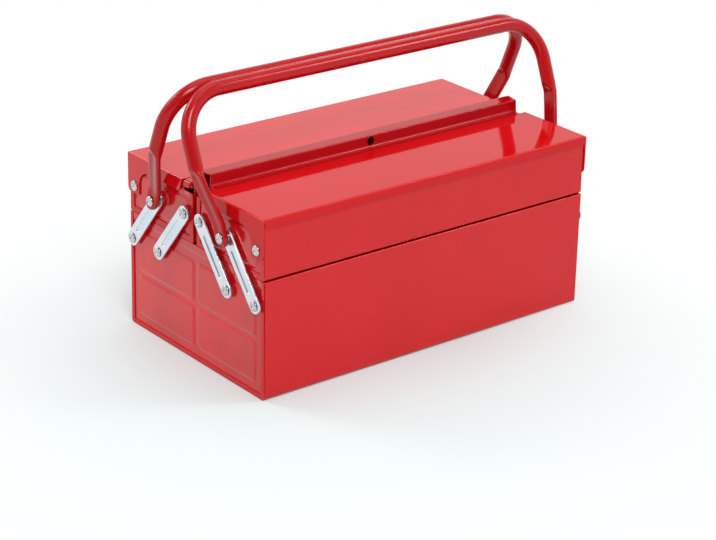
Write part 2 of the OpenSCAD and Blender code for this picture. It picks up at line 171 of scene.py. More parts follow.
enamel_film.links.new(peel, film_out.inputs["Height"])
print("group:", enamel_film.name)

# %% [markdown]
# ## The zinc skin
# Bright zinc plating on links and rivets is nearly white, with a faint drift between bluish
# and pinkish tones, a cloudy roughness and a very fine grain.

# %% Zinc skin group
zinc_skin, skin_in, skin_out = empty_group(
    "zinc_skin",
    [("Cool colour", (0.7, 0.8, 0.85, 1.0)), ("Warm colour", (0.8, 0.76, 0.78, 1.0)),
     ("Cloud size", 60.0), ("Grain size", 1500.0), ("Base roughness", 0.3), ("Cloudiness", 0.1)],
    [("Colour", "Color"), ("Roughness", "Float"), ("Height", "Float")])
place = zinc_skin.nodes.new("ShaderNodeTexCoord").outputs["Object"]
clouds = spread(zinc_skin, noise(zinc_skin, place, skin_in.outputs["Cloud size"], 4.0), 0.35, 0.65)
skin_colour = blended(zinc_skin, clouds, skin_in.outputs["Cool colour"], skin_in.outputs["Warm colour"])
zinc_skin.links.new(skin_colour, skin_out.inputs["Colour"])
cloudy = maths(zinc_skin, "MULTIPLY", clouds, skin_in.outputs["Cloudiness"])
zinc_skin.links.new(maths(zinc_skin, "ADD", cloudy, skin_in.outputs["Base roughness"]),
                    skin_out.inputs["Roughness"])
grain = noise(zinc_skin, place, skin_in.outputs["Grain size"], 2.0)
zinc_skin.links.new(grain, skin_out.inputs["Height"])
print("group:", zinc_skin.name)

# %% [markdown]
# ## Materials from the groups
# One helper makes a material: the group feeds Base Color, Roughness and the bump, and the
# even values, such as metal, coat and the bump's depth, are set on the sockets themselves.

# %% Material helper
def finish_from(group, name, values, metallic=0.0, coat=0.0, coat_roughness=0.05, depth=0.0001, ior=1.5):
    """A material that takes its look from a group and its even values on its own sockets."""
    material = bpy.data.materials.new(name)
    material.use_nodes = True
    tree = material.node_tree
    shader = tree.nodes["Principled BSDF"]
    skin = tree.nodes.new("ShaderNodeGroup")
    skin.node_tree = group
    for title, value in values.items():
        skin.inputs[title].default_value = value
    bump = tree.nodes.new("ShaderNodeBump")
    bump.inputs["Distance"].default_value = depth
    bump.inputs["Strength"].default_value = 1.0
    shader.inputs["Metallic"].default_value = metallic
    shader.inputs["IOR"].default_value = ior
    shader.inputs["Coat Weight"].default_value = coat
    shader.inputs["Coat Roughness"].default_value = coat_roughness
    tree.links.new(skin.outputs["Colour"], shader.inputs["Base Color"])
    tree.links.new(skin.outputs["Roughness"], shader.inputs["Roughness"])
    tree.links.new(skin.outputs["Height"], bump.inputs["Height"])
    tree.links.new(bump.outputs["Normal"], shader.inputs["Normal"])
    return material


def srgb(red, green, blue):
    """A screen colour, 0 to 255, as the linear colour that a shader takes."""
    return tuple(c / 3294.6 if c <= 10 else ((c / 255 + 0.055) / 1.055) ** 2.4
                 for c in (red, green, blue)) + (1.0,)


# %% [markdown]
# The box has one red, but not one surface. The lids are the smoothest and mirror the room.
# The folded sheets are a little duller, and the pressed ends have a clear gloss over a rougher
# film. The ridge and the handles have a deeper red, which is painted shade: a darker copy of the box's red,
# for the darker look that their upright faces and the dark room they mirror give them. The handles have
# only a satin gloss. The rear lid has a brighter red, which is painted light for the lower light that falls
# on it.

# %% The red enamels
RED = srgb(204, 10, 18)
THIN_RED = srgb(208, 14, 22)
# The handles' reds are painted shade: a darker copy of the box's red, for the darker look that the dark
# room they mirror gives the tubes.
PAINTED_SHADE_DEEP_RED = srgb(174, 3, 12)
THIN_PAINTED_SHADE_DEEP_RED = srgb(182, 5, 15)
# The ridge's reds are painted shade: a darker copy of the box's red, for the shade that its upright face
# stands in.
RIDGE_PAINTED_SHADE_RED = srgb(176, 3, 13)
THIN_RIDGE_PAINTED_SHADE_RED = srgb(182, 4, 15)
# A brighter red: on the rear lid it is painted light, for the lower light that falls there; on the pressed
# ends it is only the thin film's lighter patches.
PAINTED_LIGHT_AND_THIN_RED = srgb(222, 12, 20)
sheet_red = finish_from(enamel_film, "sheet_red", {
    "Colour": RED, "Thin colour": THIN_RED, "Patch size": 9.0, "Peel size": 420.0,
    "Gloss roughness": 0.15, "Smudge": 0.03}, depth=0.000005, ior=1.43)
lid_red = finish_from(enamel_film, "lid_red", {
    "Colour": RED, "Thin colour": THIN_RED, "Patch size": 7.0, "Peel size": 380.0,
    "Gloss roughness": 0.05, "Smudge": 0.02}, depth=0.000001, ior=1.32)
# Painted light: the rear lid's enamel is a brighter copy of the lid's red.
rear_lid_painted_light_red = finish_from(enamel_film, "rear_lid_painted_light_red", {
    "Colour": PAINTED_LIGHT_AND_THIN_RED, "Thin colour": THIN_RED, "Patch size": 8.0, "Peel size": 380.0,
    "Gloss roughness": 0.06, "Smudge": 0.03}, coat=0.12, depth=0.000001, ior=1.44)
pressed_red = finish_from(enamel_film, "pressed_red", {
    "Colour": RED, "Thin colour": PAINTED_LIGHT_AND_THIN_RED, "Patch size": 17.0, "Peel size": 500.0,
    "Gloss roughness": 0.18, "Smudge": 0.05}, coat=0.48, coat_roughness=0.08,
    depth=0.000005, ior=1.43)
# Painted shade: the handles' enamel is a deeper copy of the red.
tube_painted_shade_red = finish_from(enamel_film, "tube_painted_shade_red", {
    "Colour": PAINTED_SHADE_DEEP_RED, "Thin colour": THIN_PAINTED_SHADE_DEEP_RED, "Patch size": 14.0, "Peel size": 300.0,
    "Gloss roughness": 0.18, "Smudge": 0.04}, coat=0.05, coat_roughness=0.14,
    depth=0.000001, ior=1.38)
# Painted shade: the ridge's enamel is a deeper copy of the red.
ridge_painted_shade_red = finish_from(enamel_film, "ridge_painted_shade_red", {
    "Colour": RIDGE_PAINTED_SHADE_RED, "Thin colour": THIN_RIDGE_PAINTED_SHADE_RED, "Patch size": 12.0, "Peel size": 380.0,
    "Gloss roughness": 0.08, "Smudge": 0.03}, depth=0.000001, ior=1.38)
enamels = (sheet_red, lid_red, rear_lid_painted_light_red, pressed_red, tube_painted_shade_red, ridge_painted_shade_red)
print("enamels:", ", ".join(enamel.name for enamel in enamels))

# %% The zinc platings
link_zinc = finish_from(zinc_skin, "link_zinc", {
    "Cool colour": srgb(210, 226, 235), "Warm colour": srgb(230, 230, 236), "Cloud size": 70.0,
    "Grain size": 1800.0, "Base roughness": 0.26, "Cloudiness": 0.10}, metallic=1.0, depth=0.0000015)
rivet_zinc = finish_from(zinc_skin, "rivet_zinc", {
    "Cool colour": srgb(186, 193, 198), "Warm colour": srgb(208, 206, 206), "Cloud size": 160.0,
    "Grain size": 2500.0, "Base roughness": 0.10, "Cloudiness": 0.08}, metallic=1.0, depth=0.000001)
print("zincs:", link_zinc.name, rivet_zinc.name)

# %% [markdown]
# ## First coat on every CAD node
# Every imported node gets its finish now. Nodes whose plain shape already looks right keep it,
# and the rest are hidden one by one as their detailed pieces are made.

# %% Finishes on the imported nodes
for node_name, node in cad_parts.items():
    if "rivets" in node_name:
        coat_of_node = rivet_zinc
    elif "link" in node_name:
        coat_of_node = link_zinc
    elif "handle" in node_name:
        coat_of_node = tube_painted_shade_red
    elif "_end_" in node_name:
        coat_of_node = pressed_red
    else:
        coat_of_node = sheet_red
    node.data.materials.clear()
    node.data.materials.append(coat_of_node)
print("finished nodes:", len(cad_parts))

# %% [markdown]
# ## How a sheet-steel piece is made here
# A sheet is drawn as its outer skin only: a block with faces taken away, cut and folded like
# the real blank. The skin then gets its one millimetre of steel inwards, as a modifier whose
# result is kept, so that the thin edges can be marked sharp while the bends stay smooth.
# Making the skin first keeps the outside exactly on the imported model's size.

# %% Helpers for shapes
SHEET = 1.0 * MM
SMOOTH_BELOW = math.radians(32)


def block(low, high):
    """A block between two corners, with its faces pointing out."""
    low, high = Vector(low), Vector(high)
    bm = bmesh.new()
    size = high - low
    bmesh.ops.create_cube(bm, size=1.0, matrix=Matrix.Translation((low + high) / 2)
                          @ Matrix.Diagonal((size.x, size.y, size.z, 1.0)))
    bm.normal_update()
    return bm


def take_off(bm, wanted):
    """Takes away the faces that the test picks."""
    bm.normal_update()
    picked = [f for f in bm.faces if wanted(f, f.calc_center_median())]
    bmesh.ops.delete(bm, geom=picked, context="FACES")


def cut(bm, axis, *places):
    """Scores the sheet along planes square to an axis."""
    for at in places:
        across = Vector((axis == "x", axis == "y", axis == "z"))
        bmesh.ops.bisect_plane(bm, geom=bm.verts[:] + bm.edges[:] + bm.faces[:], dist=1e-7,
                               plane_co=across * at, plane_no=across)


def near(a, b, slack=1e-5):
    return abs(a - b) < slack


def round_corners(bm, wanted, radius, segments=6):
    """Rounds the corners of flat outlines."""
    picked = [v for v in bm.verts if wanted(v.co)]
    bmesh.ops.bevel(bm, geom=picked, offset=radius, offset_type="OFFSET", segments=segments,
                    profile=0.5, affect="VERTICES", material=-1, clamp_overlap=False)
    return len(picked)


def bend(bm, wanted, radius, segments=6):
    """Turns sharp folds into round bends."""
    picked = [e for e in bm.edges if wanted(e.verts[0].co, e.verts[1].co)]
    bmesh.ops.bevel(bm, geom=picked, offset=radius, offset_type="OFFSET", segments=segments,
                    profile=0.5, affect="EDGES", material=-1, clamp_overlap=False)
    return len(picked)


def join_flat_faces(bm):
    """Joins faces that lie in one plane, as the real sheet is one."""
    bmesh.ops.dissolve_limit(bm, angle_limit=math.radians(1), use_dissolve_boundaries=False,
                             verts=bm.verts[:], edges=bm.edges[:])


def flipped(bm, axis):
    """The same shape mirrored to the other side, with its faces turned out again."""
    scale = [1.0, 1.0, 1.0]
    scale["xyz".index(axis)] = -1.0
    bmesh.ops.scale(bm, vec=scale, verts=bm.verts[:])
    bmesh.ops.reverse_faces(bm, faces=bm.faces[:])
    return bm


def piece(bm, name, finish, body, nodes, thickness=0.0, smooth_below=SMOOTH_BELOW):
    """Writes a shape to an object, gives sheet its thickness, and ties it to its body."""
    mesh = bpy.data.meshes.new(name)
    bm.to_mesh(mesh)
    bm.free()
    obj = bpy.data.objects.new(name, mesh)
    scene.collection.objects.link(obj)
    if thickness:
        steel = obj.modifiers.new("steel", "SOLIDIFY")
        steel.thickness = thickness
        steel.offset = -1.0
        steel.use_even_offset = True
        bpy.context.view_layer.update()
        thick = bpy.data.meshes.new_from_object(
            obj.evaluated_get(bpy.context.evaluated_depsgraph_get()))
        obj.modifiers.clear()
        obj.data = thick
        thick.name = name
    obj.data.materials.clear()
    obj.data.materials.append(finish)
    obj.data.shade_smooth()
    obj.data.set_sharp_from_angle(angle=smooth_below)
    even = obj.modifiers.new("even shading", "WEIGHTED_NORMAL")
    even.keep_sharp = True
    even.weight = 90
    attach(obj, body)
    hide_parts(*nodes)
    print(name, "has", len(obj.data.polygons), "faces")
    return obj


# %% [markdown]
# ## Base and trays: one folded sheet each
# The front, floor and rear of the base are one sheet, and so are those of each tray. Its ends
# are folded in as narrow flanges over the end plates. A block without its top stands for the
# sheet. Insetting the end faces leaves the flanges, and bevelling the two long lower edges
# makes the bends. The upright corners stay sharp, because there two sheets only meet, and a
# fine seam is left open between them.

# %% Sizes of the base and the trays
HALF_L = 175.0 * MM
BASE_HALF_W = 98.5 * MM
BASE_H = 105.4 * MM
BASE_FLANGE = 4.0 * MM
BEND = 3.0 * MM
TRAY_BEND = 1.8 * MM
HEM_H = 6.0 * MM
HEM_W = 2.2 * MM
TRAY_IN = 2.5 * MM
TRAY_OUT = 97.5 * MM
TRAY_Z = 106.2 * MM
TRAY_TOP = 157.4 * MM
TRAY_FLANGE = 5.0 * MM
NOTCH_L = 15.0 * MM
NOTCH_Z = 150.2 * MM
PLATE_X = 174.0 * MM


# %% The folded sheet
def folded_trough(y0, y1, z0, z1, flange):
    bm = block((-HALF_L, y0, z0), (HALF_L, y1, z1))
    take_off(bm, lambda f, c: f.normal.z > 0.9)
    ends = [f for f in bm.faces if abs(f.normal.x) > 0.9]
    bmesh.ops.inset_region(bm, faces=ends, thickness=flange, use_boundary=False, use_even_offset=True)
    bmesh.ops.delete(bm, geom=ends, context="FACES")
    return bm


SEAM_W = 0.9 * MM
SEAM_DEPTH = 0.6 * MM


def open_seams(bm, walls, z0):
    """Leaves a fine seam at each upright corner, where the end flange only meets the wall."""
    start = z0 + BEND + SEAM_W
    cut(bm, "x", SEAM_W - HALF_L, HALF_L - SEAM_W)
    cut(bm, "z", start)
    take_off(bm, lambda f, c: abs(f.normal.y) > 0.9 and abs(c.x) > HALF_L - SEAM_W and c.z > start
             and any(near(c.y, wall) for wall in walls))
    for vert in bm.verts:
        for wall, inwards in zip(walls, (1, -1)):
            if near(abs(vert.co.x), HALF_L) and near(vert.co.y, wall) and vert.co.z > start + 1e-5:
                vert.co.y += inwards * SEAM_DEPTH


def bend_floor(bm, z0):
    return bend(bm, lambda a, b: near(a.z, z0) and near(b.z, z0) and near(abs(a.x), HALF_L)
                and near(a.x, -b.x), BEND)


base_sheet = folded_trough(-BASE_HALF_W, BASE_HALF_W, 0.0, BASE_H, BASE_FLANGE)
bend_floor(base_sheet, 0.0)
print("base sheet:", len(base_sheet.faces), "faces")

# %% [markdown]
# The base's long top edges are hemmed: the sheet is folded back on itself, so that the rim is
# round, stiff and safe to touch. The top edge is extruded inwards and then down, and the two
# folds become one round nose.

# %% The hem on the base
HEM_END_GAP = 1.2 * MM
HEM_R = 1.05 * MM
for way, drop in ((1, 0.0), (0, HEM_H)):
    rims = [e for e in base_sheet.edges if e.is_boundary and abs(e.verts[0].co.x) > 0.1
            and near(e.verts[0].co.x, -e.verts[1].co.x, 0.02)
            and all(near(v.co.z, BASE_H) for v in e.verts)
            and abs(e.verts[0].co.y) > BASE_HALF_W - 1.1 * HEM_W]
    moved = [g for g in bmesh.ops.extrude_edge_only(base_sheet, edges=rims)["geom"]
             if isinstance(g, bmesh.types.BMVert)]
    for vert in moved:
        vert.co.y -= math.copysign(HEM_W * way, vert.co.y)
        vert.co.z -= drop
        vert.co.x = math.copysign(PLATE_X - HEM_END_GAP, vert.co.x)
bend(base_sheet, lambda a, b: near(a.z, BASE_H) and near(b.z, BASE_H) and abs(a.x) > 0.1
     and near(a.x, -b.x) and abs(a.y) > 0.09, HEM_R, 4)
open_seams(base_sheet, (-BASE_HALF_W, BASE_HALF_W), 0.0)
base_shell = piece(base_sheet, "base_shell", sheet_red, "base", ["base_wrap"], SHEET)

# %% The two tray sheets
for side, tray_name in ((-1, "front"), (1, "rear")):
    tray_sheet = folded_trough(-TRAY_OUT, -TRAY_IN, TRAY_Z, TRAY_TOP, TRAY_FLANGE)
    cut(tray_sheet, "z", NOTCH_Z)
    cut(tray_sheet, "x", -PLATE_X + SHEET, PLATE_X - SHEET)
    take_off(tray_sheet, lambda f, c: c.z > NOTCH_Z and abs(c.x) > PLATE_X - SHEET
             and c.y > -TRAY_IN - NOTCH_L)
    join_flat_faces(tray_sheet)
    bend(tray_sheet, lambda a, b: near(a.z, TRAY_Z) and near(b.z, TRAY_Z) and abs(a.x - b.x) > 0.1
         and (near(a.y, -TRAY_OUT) or near(a.y, -TRAY_IN)), TRAY_BEND)
    open_seams(tray_sheet, (-TRAY_OUT, -TRAY_IN), TRAY_Z)
    if side > 0:
        flipped(tray_sheet, "y")
    piece(tray_sheet, tray_name + "_tray_shell", sheet_red, tray_name + "_tray",
          [tray_name + "_tray_wrap"], SHEET)

# %% [markdown]
# ## The pressed ends
# Each end plate is one flat sheet that a die has pressed: the panels stand one millimetre
# proud with soft, rounded steps. Beveling an outline would give a step, but the corners
# where four edges meet get untidy. A fine grid that is lifted by its distance from the
# panels' outlines works as the die does, and gives even, soft steps everywhere.

# %% The die
PRESS = 0.94 * MM
STEP_W = 1.9 * MM
GRID = 1.0 * MM


def outline_distance(y, z, y0, z0, y1, z1, radius):
    """Distance outside a rectangle with round corners, less than nothing inside it."""
    across = abs(y - (y0 + y1) / 2) - (y1 - y0) / 2 + radius
    along = abs(z - (z0 + z1) / 2) - (z1 - z0) / 2 + radius
    return math.hypot(max(across, 0), max(along, 0)) + min(max(across, along), 0) - radius


def soft_step(distance, width=STEP_W):
    """1 inside an outline and 0 outside it, with a smooth step between."""
    share = min(max(0.5 - distance / width, 0), 1)
    return share * share * (3 - 2 * share)


def pressed_sheet(y0, y1, z0, z1, lift, spacing=GRID):
    """A fine grid in the end's plane, lifted where the die lifts it."""
    bm = bmesh.new()
    upright = Matrix(((0, 0, 1, 0), (1, 0, 0, 0), (0, 1, 0, 0), (0, 0, 0, 1)))
    bmesh.ops.create_grid(
        bm, x_segments=round((y1 - y0) / spacing), y_segments=round((z1 - z0) / spacing), size=0.5,
        matrix=Matrix.Translation((PLATE_X, (y0 + y1) / 2, (z0 + z1) / 2)) @ upright
        @ Matrix.Diagonal((y1 - y0, z1 - z0, 1, 1)))
    for vert in bm.verts:
        vert.co.x += lift(vert.co.y, vert.co.z)
    return bm


# %% [markdown]
# A base end has four panels in two rows, a low boss behind each rivet, and a hemmed band
# along its top edge.

# %% Base ends
PANEL_IN = 2.75 * MM
PANEL_OUT = 86.0 * MM
PANEL_ROWS = ((12.5 * MM, 48.5 * MM), (54.0 * MM, 90.0 * MM))
PANEL_R = 4.0 * MM
LOW_PIVOT_Z = 83.3 * MM
OUT_LOW_Y = 89.6 * MM
IN_LOW_Y = 50.1 * MM
BASE_BOSS_R = 4.3 * MM
HEM_BAND_Z = 98.4 * MM
HEM_BAND_LIFT = 0.55 * MM


def base_end_lift(y, z):
    y = abs(y)
    share = max(soft_step(outline_distance(y, z, PANEL_IN, low, PANEL_OUT, high, PANEL_R))
                for low, high in PANEL_ROWS)
    for boss_y in (OUT_LOW_Y, IN_LOW_Y):
        share = max(share, soft_step(math.hypot(y - boss_y, z - LOW_PIVOT_Z) - BASE_BOSS_R, 1.4 * MM))
    band = soft_step(HEM_BAND_Z - z, 1.2 * MM) * HEM_BAND_LIFT
    return max(share * PRESS, band)


for side, hand in ((-1, "left"), (1, "right")):
    end_sheet = pressed_sheet(-BASE_HALF_W + SHEET, BASE_HALF_W - SHEET, SHEET, BASE_H, base_end_lift)
    if side < 0:
        flipped(end_sheet, "x")
    piece(end_sheet, "base_end_panels_" + hand, pressed_red, "base", ["base_end_" + hand],
          SHEET)

# %% [markdown]
# A tray end has one panel. Its inner top corner is cut away, so that the lids' corners have
# room, and the cut edge is stiffened by a narrow fold.

# %% Tray ends
TRAY_PANEL = (-88.5 * MM, 114.5 * MM, -8.5 * MM, 143.4 * MM, 6.0 * MM)
UP_PIVOT_Z = 131.0 * MM
IN_UP_Y = 11.5 * MM
OUT_UP_Y = 51.0 * MM
HINGE_Y = 89.0 * MM
HINGE_Z = 131.2 * MM
TRAY_BOSS_R = 3.6 * MM
FOLD_LIFT = 0.6 * MM


def tray_end_lift(y, z):
    share = soft_step(outline_distance(y, z, *TRAY_PANEL), 3.0 * MM)
    for boss_y, boss_z in ((-IN_UP_Y, UP_PIVOT_Z), (-HINGE_Y, HINGE_Z)):
        share = max(share, soft_step(math.hypot(y - boss_y, z - boss_z) - TRAY_BOSS_R, 1.2 * MM))
    fold = soft_step(NOTCH_Z - 2.2 * MM - z, 0.8 * MM) * soft_step(-TRAY_IN - NOTCH_L - y, 0.8 * MM)
    return max(share * PRESS, fold * FOLD_LIFT)


for side, tray_name in ((-1, "front"), (1, "rear")):
    for hand in ("left", "right"):
        end_sheet = pressed_sheet(-TRAY_OUT + SHEET, -TRAY_IN - SHEET, TRAY_Z + SHEET, TRAY_TOP,
                                  tray_end_lift, 0.8 * MM)
        cut(end_sheet, "z", NOTCH_Z)
        cut(end_sheet, "y", -TRAY_IN - NOTCH_L)
        take_off(end_sheet, lambda f, c: c.z > NOTCH_Z and c.y > -TRAY_IN - NOTCH_L)
        if hand == "left":
            flipped(end_sheet, "x")
        if side > 0:
            flipped(end_sheet, "y")
        piece(end_sheet, f"{tray_name}_tray_end_panel_{hand}", pressed_red, tray_name + "_tray",
              [f"{tray_name}_tray_end_{hand}"], SHEET)

# %% [markdown]
# ## The lids
# Each lid is one pressed sheet: a flat top, a long skirt, a deeper skirt at each end, and an
# ear at each outer corner that reaches down to the hinge. It starts as a block with its
# bottom and inner side taken off. The skirts are cut to their heights, the ears are extruded
# from the end skirts, their corners are rounded while everything is still flat, and the long
# edges are bent last.

# %% Sizes of the lids
LID_X = 176.4 * MM
LID_Y = 98.9 * MM
LID_Z = 160.0 * MM
LONG_SKIRT = 8.0 * MM
END_SKIRT = 12.0 * MM
LID_BEND = 1.5 * MM
EAR_W = 16.7 * MM
EAR_Z = 124.5 * MM
EAR_CORNER_R = 5.0 * MM
EAR_HOLLOW_R = 15.0 * MM
RIDGE_X = 168.4 * MM
NOTCH_SLANT = 5.0 * MM
FRONT_INNER_Y = 13.0 * MM
REAR_INNER_Y = 0.4 * MM
FRONT_NOTCH = 19.4 * MM
REAR_NOTCH = 16.4 * MM
SLIT = 1.4 * MM
SLIT_Z = 157.0 * MM
TAB_IN = 6.4 * MM
TAB_OUT = 14.6 * MM
TAB_Z = 154.5 * MM
TAB_BEND = 4.0 * MM


# %% The lid's blank
def lid_blank(inner_y, notch):
    bm = block((-LID_X, -LID_Y, LID_Z - END_SKIRT), (LID_X, -inner_y, LID_Z))
    take_off(bm, lambda f, c: f.normal.z < -0.9 or f.normal.y > 0.9)
    cut(bm, "z", LID_Z - LONG_SKIRT, SLIT_Z)
    cut(bm, "y", -notch, EAR_W - LID_Y)
    cut(bm, "x", -RIDGE_X, RIDGE_X, SLIT - LID_X, LID_X - SLIT)
    take_off(bm, lambda f, c: f.normal.y < -0.9 and c.z < LID_Z - LONG_SKIRT)
    take_off(bm, lambda f, c: f.normal.y < -0.9 and c.z < SLIT_Z and abs(c.x) > LID_X - SLIT)
    take_off(bm, lambda f, c: c.y > -notch and abs(c.x) > RIDGE_X)
    for vert in bm.verts:
        if near(vert.co.y, -notch) and vert.co.z < LID_Z - 1e-5 and near(abs(vert.co.x), LID_X):
            vert.co.y -= NOTCH_SLANT * (LID_Z - vert.co.z) / END_SKIRT
    return bm


def add_ears(bm):
    """Draws the ears down from the end skirts."""
    lower = [e for e in bm.edges if all(near(v.co.z, LID_Z - END_SKIRT) and near(abs(v.co.x), LID_X)
                                        and v.co.y < EAR_W - LID_Y + 1e-5 for v in e.verts)]
    for g in bmesh.ops.extrude_edge_only(bm, edges=lower)["geom"]:
        if isinstance(g, bmesh.types.BMVert):
            g.co.z = EAR_Z
    return len(lower)


def add_tabs(bm):
    """Adds the tabs at the inner edge's ends. Known fault, left as it is: both selections also
    pick the two score lines that run across the lid, so stray walls grow from them."""
    cut(bm, "y", -TAB_IN, -TAB_OUT)
    start = [e for e in bm.edges if all(near(abs(v.co.x), RIDGE_X) and near(v.co.z, LID_Z)
                                        and -TAB_OUT - 1e-5 < v.co.y < -TAB_IN + 1e-5 for v in e.verts)]
    out = [g for g in bmesh.ops.extrude_edge_only(bm, edges=start)["geom"]
           if isinstance(g, (bmesh.types.BMVert, bmesh.types.BMEdge))]
    for g in out:
        if isinstance(g, bmesh.types.BMVert):
            g.co.x = math.copysign(LID_X, g.co.x)
    down = [e for e in bm.edges if e.is_boundary and all(
        near(abs(v.co.x), LID_X) and near(v.co.z, LID_Z) and v.co.y > -TAB_OUT - 1e-5 for v in e.verts)]
    for g in bmesh.ops.extrude_edge_only(bm, edges=down)["geom"]:
        if isinstance(g, bmesh.types.BMVert):
            g.co.z = TAB_Z
    return len(start)


# %% Rounding and bending a lid
def form_lid(bm, tabs):
    join_flat_faces(bm)
    at_end = LID_X - 1e-5
    round_corners(bm, lambda p: abs(p.x) > at_end and near(p.z, EAR_Z) and near(p.y, -LID_Y), EAR_CORNER_R)
    round_corners(bm, lambda p: abs(p.x) > at_end and near(p.z, EAR_Z) and near(p.y, EAR_W - LID_Y),
                  1.0 * MM, 3)
    round_corners(bm, lambda p: abs(p.x) > at_end and near(p.z, LID_Z - END_SKIRT)
                  and near(p.y, EAR_W - LID_Y), EAR_HOLLOW_R, 10)
    round_corners(bm, lambda p: abs(p.x) > at_end and near(p.z, LID_Z - END_SKIRT) and p.y > -0.03,
                  2.2 * MM, 4)
    round_corners(bm, lambda p: near(p.y, -LID_Y) and near(p.z, LID_Z - LONG_SKIRT)
                  and near(abs(p.x), LID_X - SLIT), 2.5 * MM, 4)
    if tabs:
        round_corners(bm, lambda p: abs(p.x) > at_end and near(p.z, TAB_Z), 2.6 * MM, 4)
        bend(bm, lambda a, b: near(a.z, LID_Z) and near(b.z, LID_Z) and abs(a.x) > at_end
             and near(a.x, b.x) and a.y > -TAB_OUT - 1e-5 and b.y > -TAB_OUT - 1e-5, TAB_BEND, 6)
    bend(bm, lambda a, b: near(a.z, LID_Z) and near(b.z, LID_Z) and (
        (near(a.y, -LID_Y) and near(b.y, -LID_Y))
        or (near(a.x, b.x) and abs(a.x) > at_end and a.y < -TAB_OUT - 1e-4 and b.y < -TAB_OUT - 1e-4)),
         LID_BEND, 5)
    return bm


front_lid_blank = lid_blank(FRONT_INNER_Y, FRONT_NOTCH)
add_ears(front_lid_blank)
piece(form_lid(front_lid_blank, False), "front_lid_sheet", lid_red, "front_lid", ["front_lid"],
      SHEET)
rear_lid_blank = lid_blank(REAR_INNER_Y, REAR_NOTCH)
add_ears(rear_lid_blank)
add_tabs(rear_lid_blank)
rear_lid_steel = flipped(form_lid(rear_lid_blank, True), "y")
piece(rear_lid_steel, "rear_lid_sheet", rear_lid_painted_light_red, "rear_lid", ["rear_lid"], SHEET)

# %% [markdown]
# ## The ridge
# The front lid carries a ridge along the middle: a welded foot, an upright face, a flat top
# and a lip that closes over the rear lid. A padlock goes through one hole in both. A chain of
# five points is extruded along the box and its folds are bent. The hole is cut through the
# finished steel, because a drilled hole is easier to take out than to leave out.

# %% The ridge's sheet
FOOT_Y = -20.0 * MM
FACE_Y = -14.0 * MM
LIP_Y = -0.4 * MM
FOOT_Z = 161.0 * MM
RIDGE_TOP_Z = 171.5 * MM
LIP_Z = 159.0 * MM
FOOT_BEND = 1.8 * MM
TOP_BEND = 1.0 * MM
RIDGE_PATH = ((FOOT_Y, FOOT_Z), (FACE_Y, FOOT_Z), (FACE_Y, RIDGE_TOP_Z), (LIP_Y, RIDGE_TOP_Z),
              (LIP_Y, LIP_Z))
# Half the ridge's length at each point of the path, in millimetres: its ends are cut at a slant.
RIDGE_ENDS = (164.4, 168.8, 168.0, 170.4, 168.4)
ridge_sheet = bmesh.new()
corners = [ridge_sheet.verts.new((-end * MM, y, z)) for (y, z), end in zip(RIDGE_PATH, RIDGE_ENDS)]
folds = [ridge_sheet.edges.new(pair) for pair in zip(corners, corners[1:])]
for g in bmesh.ops.extrude_edge_only(ridge_sheet, edges=folds)["geom"]:
    if isinstance(g, bmesh.types.BMVert):
        g.co.x = -g.co.x
bmesh.ops.recalc_face_normals(ridge_sheet, faces=ridge_sheet.faces[:])
ridge_sheet.normal_update()
if max(ridge_sheet.faces, key=lambda f: f.calc_center_median().z).normal.z < 0:
    bmesh.ops.reverse_faces(ridge_sheet, faces=ridge_sheet.faces[:])
bend(ridge_sheet, lambda a, b: near(a.x, -b.x) and near(a.z, FOOT_Z) and near(a.y, FACE_Y),
     FOOT_BEND, 6)
bend(ridge_sheet, lambda a, b: near(a.x, -b.x) and near(a.z, RIDGE_TOP_Z), TOP_BEND, 4)
ridge = piece(ridge_sheet, "front_ridge_sheet", ridge_painted_shade_red, "front_lid", ["front_lid_ridge"],
              SHEET)


# %% The padlock hole
def drill(obj, at, radius, reach):
    """Cuts a round hole along Y through a finished piece."""
    drill_shape = bmesh.new()
    bmesh.ops.create_cone(drill_shape, cap_ends=True, segments=32, radius1=radius, radius2=radius,
                          depth=reach, matrix=Matrix.Translation(at) @ Matrix.Rotation(math.pi / 2, 4, "X"))
    drill_mesh = bpy.data.meshes.new("drill")
    drill_shape.to_mesh(drill_mesh)
    drill_shape.free()
    drill_obj = bpy.data.objects.new("drill", drill_mesh)
    scene.collection.objects.link(drill_obj)
    hole = obj.modifiers.new("hole", "BOOLEAN")
    hole.object = drill_obj
    hole.solver = "EXACT"
    bpy.context.view_layer.update()
    drilled = bpy.data.meshes.new_from_object(obj.evaluated_get(bpy.context.evaluated_depsgraph_get()))
    obj.modifiers.remove(hole)
    obj.data = drilled
    bpy.data.objects.remove(drill_obj)
    drilled.set_sharp_from_angle(angle=SMOOTH_BELOW)
    return len(drilled.polygons)


LOCK_AT = Vector((0.0, -7.0 * MM, 166.25 * MM))
LOCK_R = 4.0 * MM
DRILL_REACH = 20 * MM
print("drilled ridge:", drill(ridge, LOCK_AT, LOCK_R, DRILL_REACH), "faces")

# %% [markdown]
# ## The links
# Eight flat links carry the trays. Each is a strip with round ends and a groove pressed along
# its middle. A rectangle gets its four corners rounded, two insets mark out the groove, and
# the inner outline is drawn in from both ends before it is pushed down.

# %% A link
LINK_X = 177.4 * MM
LINK_T = 1.6 * MM
LINK_W = 14.0 * MM
LINK_LEN = math.hypot(OUT_LOW_Y - OUT_UP_Y, UP_PIVOT_Z - LOW_PIVOT_Z)
LINK_LEAN = math.atan2(OUT_LOW_Y - OUT_UP_Y, UP_PIVOT_Z - LOW_PIVOT_Z)
GROOVE_L = 31.0 * MM
GROOVE_W = 4.4 * MM
GROOVE_WALL = 1.05 * MM
GROOVE_D = 0.95 * MM
RIM_R = 0.45 * MM
LINK_SMOOTH = math.radians(34)


